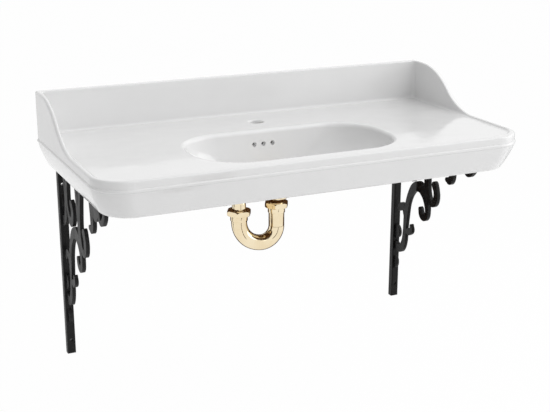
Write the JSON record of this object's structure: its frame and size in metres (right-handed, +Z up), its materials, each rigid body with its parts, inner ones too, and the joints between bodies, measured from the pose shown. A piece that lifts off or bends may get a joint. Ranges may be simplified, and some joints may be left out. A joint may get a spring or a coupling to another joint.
{
  "type": "wall-hung washbasin",
  "caption": "Wide white ceramic console washbasin with swept splashback and moulded apron, on black scroll wall brackets, with push-up waste and polished brass trap",
  "frame": {"origin": "On the wall, half way between the two studs that hold the basin", "axes": "+X runs along the wall to the right seen from the room, +Y goes into the wall, +Z is up"},
  "size_m": [1, 0.55, 0.645],
  "materials": {
    "ceramic": "gloss white glaze",
    "iron": "satin black enamel",
    "brass": "polished",
    "rubber": "matt",
    "steel": "zinc plated",
    "plastic": "matt"
  },
  "bodies": {
    "basin_assembly": {"basin_deck": "ceramic", "basin_splash": "ceramic", "basin_back": "ceramic", "basin_apron": "ceramic", "basin_bowl": "ceramic", "left_bracket_post": "iron", "left_bracket_arm": "iron", "left_bracket_scroll": "iron", "right_bracket_post": "iron", "right_bracket_arm": "iron", "right_bracket_scroll": "iron", "waste_body": "brass", "waste_back_nut": "brass", "tailpiece": "brass", "tailpiece_nut": "brass", "trap_inlet_leg": "brass", "trap_u_bend": "brass", "trap_outlet_pipe": "brass", "arm_pads": "rubber", "waste_flange_seal": "rubber", "waste_gasket": "rubber", "tailpiece_gasket": "rubber", "trap_inlet_washer": "rubber", "trap_outlet_washer": "rubber", "wall_studs": "steel", "stud_nuts": "steel", "stud_bushes": "plastic", "plug_guide": "plastic"},
    "plug": {"waste_plug": "brass", "plug_seal": "rubber"},
    "inlet_ring": {"trap_inlet_ring": "brass"},
    "inlet_nut": {"trap_inlet_nut": "brass"},
    "outlet_ring": {"trap_outlet_ring": "brass"},
    "outlet_nut": {"trap_outlet_nut": "brass"},
    "cover_flange": {"wall_flange": "brass"}
  },
  "joints": [
    {"name": "plug_lift", "type": "slide", "parent": "basin_assembly", "child": "plug", "axis": [0, 0, 1], "range_m": [0, 0.008]},
    {"name": "inlet_ring_slide", "type": "slide", "parent": "basin_assembly", "child": "inlet_ring", "axis": [0, 0, 1], "range_m": [0, 0.00808]},
    {"name": "inlet_nut_turn", "type": "hinge", "parent": "inlet_ring", "child": "inlet_nut", "pos_m": [-0.009, -0.236, -0.112], "axis": [0, 0, 1], "range_deg": [0, 1260]},
    {"name": "outlet_ring_slide", "type": "slide", "parent": "basin_assembly", "child": "outlet_ring", "axis": [0, 0, 1], "range_m": [0, 0.00808]},
    {"name": "outlet_nut_turn", "type": "hinge", "parent": "outlet_ring", "child": "outlet_nut", "pos_m": [-0.103, -0.236, -0.12], "axis": [0, 0, 1], "range_deg": [0, 1260]},
    {"name": "flange_slide", "type": "slide", "parent": "basin_assembly", "child": "cover_flange", "axis": [0, -1, 0], "range_m": [0, 0.05]}
  ],
  "couplings": [
    {"joint": "inlet_nut_turn", "follows": "inlet_ring_slide", "rad_per_m": 2721.7},
    {"joint": "outlet_nut_turn", "follows": "outlet_ring_slide", "rad_per_m": 2721.7}
  ]
}
